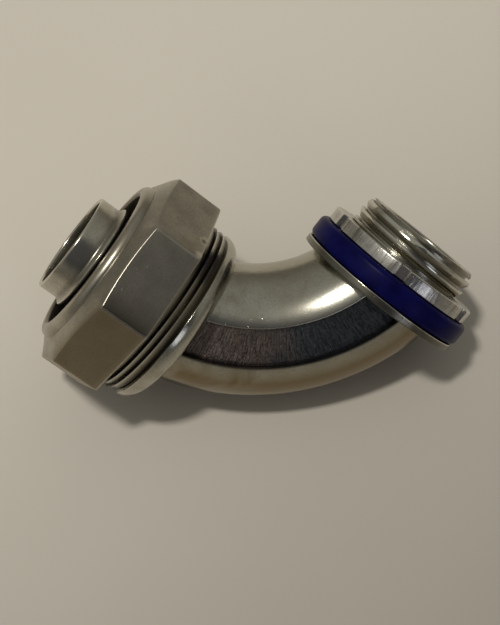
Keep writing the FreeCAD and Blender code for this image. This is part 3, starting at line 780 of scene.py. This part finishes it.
class GlandNut(bpy.types.Operator):
    """Builds the octagonal gland nut with its shoulder, nose and mouth"""

    bl_idname = "connector.gland_nut"
    bl_label = "Gland nut"

    def execute(self, context):
        size, finish = sizes(), finishes()
        gland = places(size)[1]
        half = size.nut_half_flats
        thread = size.socket_crest + 0.2 * MM
        outline = soften([
            (thread, size.nut_back, 0.2 * MM, 0.4, 0),
            (half, size.nut_back, 0.35 * MM, 0.9, 1),
            (half, size.nut_flat_end, 0.22 * MM, 0.5, 1),
            (size.nut_collar_radius, size.nut_collar, 0.35 * MM, 0.0, 0),
            (size.nut_nose_radius, size.nut_collar, 0.12 * MM, 0.0, 0),
            (size.nut_nose_radius, size.nut_front, size.nut_nose_round, 0.35, 0),
            (size.nut_mouth, size.nut_front, 0.45 * MM, 0.6, 0),
            (size.nut_mouth, size.nut_lip, 0.1 * MM, 0, 0),
            (size.nut_cavity, size.nut_seat, 0.1 * MM, 0, 0),
            (size.nut_cavity, size.nut_thread_end, 0.1 * MM, 0, 0),
            (thread, size.nut_thread_end, 0.1 * MM, 0, 0),
        ])
        pitch = TURN / NUT_SIDES
        runs = ((-0.5, -0.44, 9), (-0.44, 0.44, 25), (0.44, 0.5, 9))
        offsets = np.concatenate([np.linspace(*run)[:-1] for run in runs]) * pitch
        around = np.concatenate([size.nut_turn + k * pitch + offsets for k in range(NUT_SIDES)])

        def corner(turn):
            """How far the eight-sided outline stands out beyond the middle of a flat."""
            off = np.abs((turn - size.nut_turn + pitch / 2) % pitch - pitch / 2)
            plain = half / np.cos(off)
            hard = size.nut_corner_round
            hub = (half - hard) / math.cos(pitch / 2)
            lean = pitch / 2 - off
            inside = np.maximum(hard ** 2 - (hub * np.sin(lean)) ** 2, 0)
            arc = hub * np.cos(lean) + np.sqrt(inside)
            flat = half * np.tan(off) <= (half - hard) * math.tan(pitch / 2)
            return np.where(flat, plain, arc) - half

        def slide(rows, turn):
            """The flats reach further forward in their middle than at their corners."""
            run = (rows[:, 1] - size.nut_back) / (size.nut_flat_end - size.nut_back)
            part = rows[:, 3:4] * np.clip(run, 0, 1)[:, None]
            return 0.3 * part * (corner(size.nut_turn + pitch / 2) - corner(turn))

        def shade_rule(rows, turn):
            """Painted shade in the mouth and on the back face, and a painted dark reflection along one side
            of each flat.
            """
            mouth = rows[:, 0] < size.nut_mouth + 0.4 * MM
            inner = 1.0 * mouth + 0.7 * (rows[:, 1] < size.nut_back + 0.05 * MM)
            # A painted dark reflection along one side of each flat, fading across it.
            off = (turn - size.nut_turn + math.pi) % TURN - math.pi + pitch / 2
            dark = np.where(off > 0, 0.95 * np.clip(1 - off / (0.36 * pitch), 0, 1), 0)
            flats = (rows[:, 3] > 0.9) & (rows[:, 1] < size.nut_flat_end - 0.05 * MM)
            return np.maximum(inner[:, None], flats[:, None] * dark)

        def stain_and_shade(rows, turn):
            """Brown painted shade on the lower flats."""
            off = (turn - size.nut_turn + math.pi) % TURN - math.pi
            under = np.clip((-off / pitch - 0.5) / 0.04, 0, 1) * np.clip((off / pitch + 2.6) / 0.3, 0, 1)
            return 0.7 * np.clip((rows[:, 3:4] - 0.55) / 0.45, 0, 1) * under

        skin = lathe(outline, around, corner, slide, shade_rule, stain_and_shade).placed(gland)
        flat = size.nut_turn + pitch
        out = Vector((math.cos(flat), math.sin(flat)))
        side = Vector((-math.sin(flat), math.cos(flat)))
        knocks = []
        for off, along, reach, deep in ((-2.8, 0.55, 0.95, True), (-6.5, 0.45, 0.75, False)):
            spot = Vector((*(out * half + side * off * MM), size.nut_back + along * MM))
            knocks.append((tuple(gland @ spot), reach * MM, deep))
        material = zinc_finish("nut_zinc", tuple(finish.nut), scaled(finish.nut, 0.66), finish,
                               rough=0.24, cloudy=0.7, spots=knocks)
        piece("gland_nut_dressed", [skin], material, "nut", ["gland_nut"], sharp=28)
        return {"FINISHED"}


class Ferrule(bpy.types.Operator):
    """Builds the thin ferrule that the conduit is pushed over"""

    bl_idname = "connector.ferrule"
    bl_label = "Ferrule"

    def execute(self, context):
        size, finish = sizes(), finishes()
        outer, inner, rim = size.ferrule_radius, size.ferrule_bore, size.ferrule_rim
        wall = outer - inner
        base = size.socket_floor + 0.02 * MM
        skirt = size.socket_bore - 0.2 * MM
        bead = rim - 4.2 * MM
        outline = soften([
            (inner, base, 0.3 * MM, 0, 0),
            (skirt, base, 0.4 * MM, 0, 0),
            (skirt, base + 3.8 * MM, 0.2 * MM, 0, 0),
            (skirt - wall, base + 3.8 * MM, 0.2 * MM, 0, 0),
            (skirt - wall, base + wall, 0.2 * MM, 0, 0),
            (outer, base + wall, 0.3 * MM, 0, 0),
            (outer, bead - 0.5 * MM, 0.2 * MM, 0, 0),
            (outer + size.bead_height, bead - 0.2 * MM, 0.12 * MM, 0.5, 0),
            (outer + size.bead_height, bead + 0.2 * MM, 0.12 * MM, 0.9, 0),
            (outer, bead + 0.75 * MM, 0.5 * MM, 0, 0),
            (outer, rim, 0.3 * MM, 0.9, 0),
            (inner, rim, 0.3 * MM, 0.9, 0),
        ])

        # Painted shade in the bore, and on the flare behind the bead, where it dims the glint.
        def shade_rule(rows, around):
            bore = (rows[:, 0] < inner + 0.05 * MM) & (rows[:, 1] < rim - 0.3 * MM)
            past = rows[:, 1] - bead
            flare = (rows[:, 0] > outer - 0.02 * MM) & (past > 0.25 * MM) & (past < 1.4 * MM)
            return (0.6 * bore + 0.4 * flare)[:, None]

        skin = lathe(outline, even_turn(144), shade_rule=shade_rule).placed(places(size)[1])
        material = zinc_finish("plated_ferrule", tuple(finish.steel), scaled(finish.steel, 0.68), finish,
                               rough=0.14, cloudy=0.5)
        piece("ferrule_dressed", [skin], material, "elbow", ["ferrule"])
        return {"FINISHED"}


class SealingRing(bpy.types.Operator):
    """Builds the sealing ring inside the nut's mouth"""

    bl_idname = "connector.sealing_ring"
    bl_label = "Sealing ring"

    def execute(self, context):
        size, finish = sizes(), finishes()
        outline = soften([
            (size.seal_bore, size.seal_back, 0.3 * MM, 0, 0),
            (size.seal_radius, size.seal_back, 0.3 * MM, 0, 0),
            (size.seal_radius, size.seal_front - size.seal_taper, 0.2 * MM, 0, 0),
            (size.seal_nose, size.seal_front, 0.4 * MM, 0, 0),
            (size.seal_bore, size.seal_front, 0.35 * MM, 0, 0),
        ])
        skin = lathe(outline, even_turn(128)).placed(places(size)[1])
        material = plastic_finish("blue_seal", tuple(finish.seal), 0.45)
        piece("sealing_ring_dressed", [skin], material, "seal", ["sealing_ring"])
        return {"FINISHED"}


class HubGasket(bpy.types.Operator):
    """Builds the thick blue gasket between flange and locknut"""

    bl_idname = "connector.hub_gasket"
    bl_label = "Hub gasket"

    def execute(self, context):
        size, finish = sizes(), finishes()
        outline = soften([
            (size.ring_bore, size.gasket_back, 0.3 * MM, 0, 0),
            (size.gasket_radius, size.gasket_back, size.gasket_round, 0, 0),
            (size.gasket_radius, size.gasket_front, size.gasket_round, 0, 0),
            (size.ring_bore, size.gasket_front, 0.3 * MM, 0, 0),
        ])
        skin = lathe(outline, even_turn(144)).placed(places(size)[2])
        material = plastic_finish("blue_gasket", tuple(finish.gasket), 0.30)
        piece("hub_gasket_dressed", [skin], material, "gasket", ["hub_gasket"])
        return {"FINISHED"}


class Locknut(bpy.types.Operator):
    """Builds the notched locknut"""

    bl_idname = "connector.locknut"
    bl_label = "Locknut"

    def execute(self, context):
        size, finish = sizes(), finishes()
        outline = soften([
            (size.ring_bore, size.locknut_back, 0.2 * MM, 0, 0),
            (size.locknut_radius, size.locknut_back, 0.3 * MM, 0.8, 1),
            (size.locknut_radius, size.locknut_front, 0.3 * MM, 0.9, 1),
            (size.ring_bore, size.locknut_front, 0.3 * MM, 0.4, 0),
        ])
        pitch = TURN / size.notch_count
        half = size.notch_width / size.locknut_radius / 2
        spread = 1.35 * half
        near = np.linspace(-spread, spread, 28)
        far = np.linspace(spread, pitch - spread, 24)[1:-1]
        around = np.concatenate([size.locknut_turn + k * pitch + np.concatenate([near, far])
                                 for k in range(size.notch_count)])

        def notch(turn):
            """How far the rim is sunk, with eased walls at both sides of a notch."""
            off = np.abs((turn - size.locknut_turn + pitch / 2) % pitch - pitch / 2) / half
            ease = np.clip((1.12 - off) / 0.24, 0, 1)
            return -size.notch_depth * ease * ease * (3 - 2 * ease)

        skin = lathe(outline, around, notch).placed(places(size)[2])
        rim = outline[:, 0] > size.locknut_radius - 0.35 * MM
        skin.marks["zone"] = np.repeat(1.0 * rim, len(around))
        material = zinc_finish("locknut_plate", tuple(finish.plate), scaled(finish.plate, 0.60), finish,
                               rough=0.15, cloudy=0.6, streak=tuple(HUB))
        piece("locknut_dressed", [skin], material, "lock", ["locknut"])
        return {"FINISHED"}


class Stage(bpy.types.Operator):
    """Sets the floor, the lights and the camera of the photograph"""

    bl_idname = "connector.stage"
    bl_label = "Stage"

    def execute(self, context):
        scene = context.scene
        scene.view_settings.view_transform = "Standard"
        self.floor()
        self.camera()
        self.lights()
        return {"FINISHED"}

    def floor(self):
        """The pale surface that the connector lies on, with painted shade that darkens it towards one side.
        """
        reach = 4.0
        level = CAD_BOX[0].z
        mesh = bpy.data.meshes.new("floor")
        corners = [(x * reach, y * reach, level) for x, y in ((-1, -1), (1, -1), (1, 1), (-1, 1))]
        mesh.from_pydata(corners, [], [(0, 1, 2, 3)])
        made = Finish("pale_floor")
        cloud = made.noise(14, 3, 0.5)
        tone = tuple(finishes().floor)
        away = made.dot(made.place, (0.92, -0.39, 0.0)) + (cloud - 0.5) * 0.02
        # Painted shade: the floor darkens smoothly towards one side.
        painted_falloff = made.mix(made.range(away, -0.07, 0.11), tone, scaled(tone, 0.44))
        made.set(Base_Color=painted_falloff, Roughness=0.7, Specular_IOR_Level=0.2)
        mesh.materials.append(made.material)
        floor = bpy.data.objects.new("floor", mesh)
        bpy.context.scene.collection.objects.link(floor)

    def camera(self):
        """The camera that was fitted to the photograph."""
        lens = bpy.data.cameras.new("camera")
        lens.sensor_width = SENSOR
        lens.lens = FOCAL_PIXELS * SENSOR / PHOTO_HEIGHT
        lens.clip_start = 0.01
        lens.clip_end = 20.0
        camera = bpy.data.objects.new("camera", lens)
        camera.matrix_world = columns(CAMERA_RIGHT, CAMERA_UP, CAMERA_BACK, CAMERA_PLACE)
        bpy.context.scene.collection.objects.link(camera)
        bpy.context.scene.camera = camera

    def lights(self):
        """A dim room with a dark part and a small window, and one lamp overhead."""
        world = bpy.data.worlds.new("room")
        world.use_nodes = True
        room = Nodes(world.node_tree)
        way = room.node("ShaderNodeTexCoord", output="Generated")

        def toward(azimuth, elevation):
            """How near a direction lies to this one, in degrees round and up."""
            a, e = math.radians(azimuth), math.radians(elevation)
            aim = (math.cos(a) * math.cos(e), math.sin(a) * math.cos(e), math.sin(e))
            return room.dot(way, aim)

        rise = room.node("ShaderNodeSeparateXYZ", {}, {0: way}, output="Z")
        tone = room.mix(room.range(rise, 0.0, 0.75), (0.17, 0.155, 0.125), (0.30, 0.297, 0.265))
        tone = room.mix(room.range(toward(-34, 41), 0.72, 0.90) * 0.94, tone, (0.050, 0.050, 0.056))
        tone = room.mix(room.range(toward(-26, 21), 0.978, 0.990), tone, (1.1, 1.13, 1.28))
        back = room.tree.nodes.new("ShaderNodeBackground")
        out = room.tree.nodes.new("ShaderNodeOutputWorld")
        room.feed(back.inputs["Color"], tone)
        room.tree.links.new(back.outputs[0], out.inputs[0])
        bpy.context.scene.world = world
        aim = Vector((-17, -24, 0)) * MM
        above = Vector((-0.11, -0.135, 0.80))
        lamp = bpy.data.lights.new("lamp", "AREA")
        lamp.shape = "RECTANGLE"
        lamp.size = 0.06
        lamp.size_y = 0.085
        lamp.energy = 2.65
        lamp.color = (1.0, 0.955, 0.88)
        made = bpy.data.objects.new("lamp", lamp)
        made.location = aim + above
        made.rotation_euler = (-above).to_track_quat("-Z", "Y").to_euler()
        bpy.context.scene.collection.objects.link(made)


class ConnectorPanel(bpy.types.Panel):
    """Lists the connector's pieces, sizes and finishes"""

    bl_idname = "VIEW3D_PT_connector"
    bl_label = "Elbow connector"
    bl_space_type = "VIEW_3D"
    bl_region_type = "UI"
    bl_category = "Connector"

    def draw(self, context):
        for made in PIECES:
            self.layout.operator(made.bl_idname)
        for group in (sizes(), finishes()):
            for key in group.bl_rna.properties.keys():
                if key not in ("rna_type", "name"):
                    self.layout.prop(group, key)


PIECES = (ElbowCasting, GlandNut, Ferrule, SealingRing, HubGasket, Locknut, Stage)
CLASSES = (ConnectorSizes, ConnectorFinish, *PIECES, ConnectorPanel)


def register():
    for made in CLASSES:
        bpy.utils.register_class(made)
    bpy.types.Scene.connector_sizes = PointerProperty(type=ConnectorSizes)
    bpy.types.Scene.connector_finish = PointerProperty(type=ConnectorFinish)


def unregister():
    del bpy.types.Scene.connector_finish
    del bpy.types.Scene.connector_sizes
    for made in reversed(CLASSES):
        bpy.utils.unregister_class(made)


def main():
    register()
    for step in ("elbow_casting", "gland_nut", "ferrule", "sealing_ring", "hub_gasket", "locknut",
                 "stage"):
        getattr(bpy.ops.connector, step)()


if __name__ == "__main__":
    main()
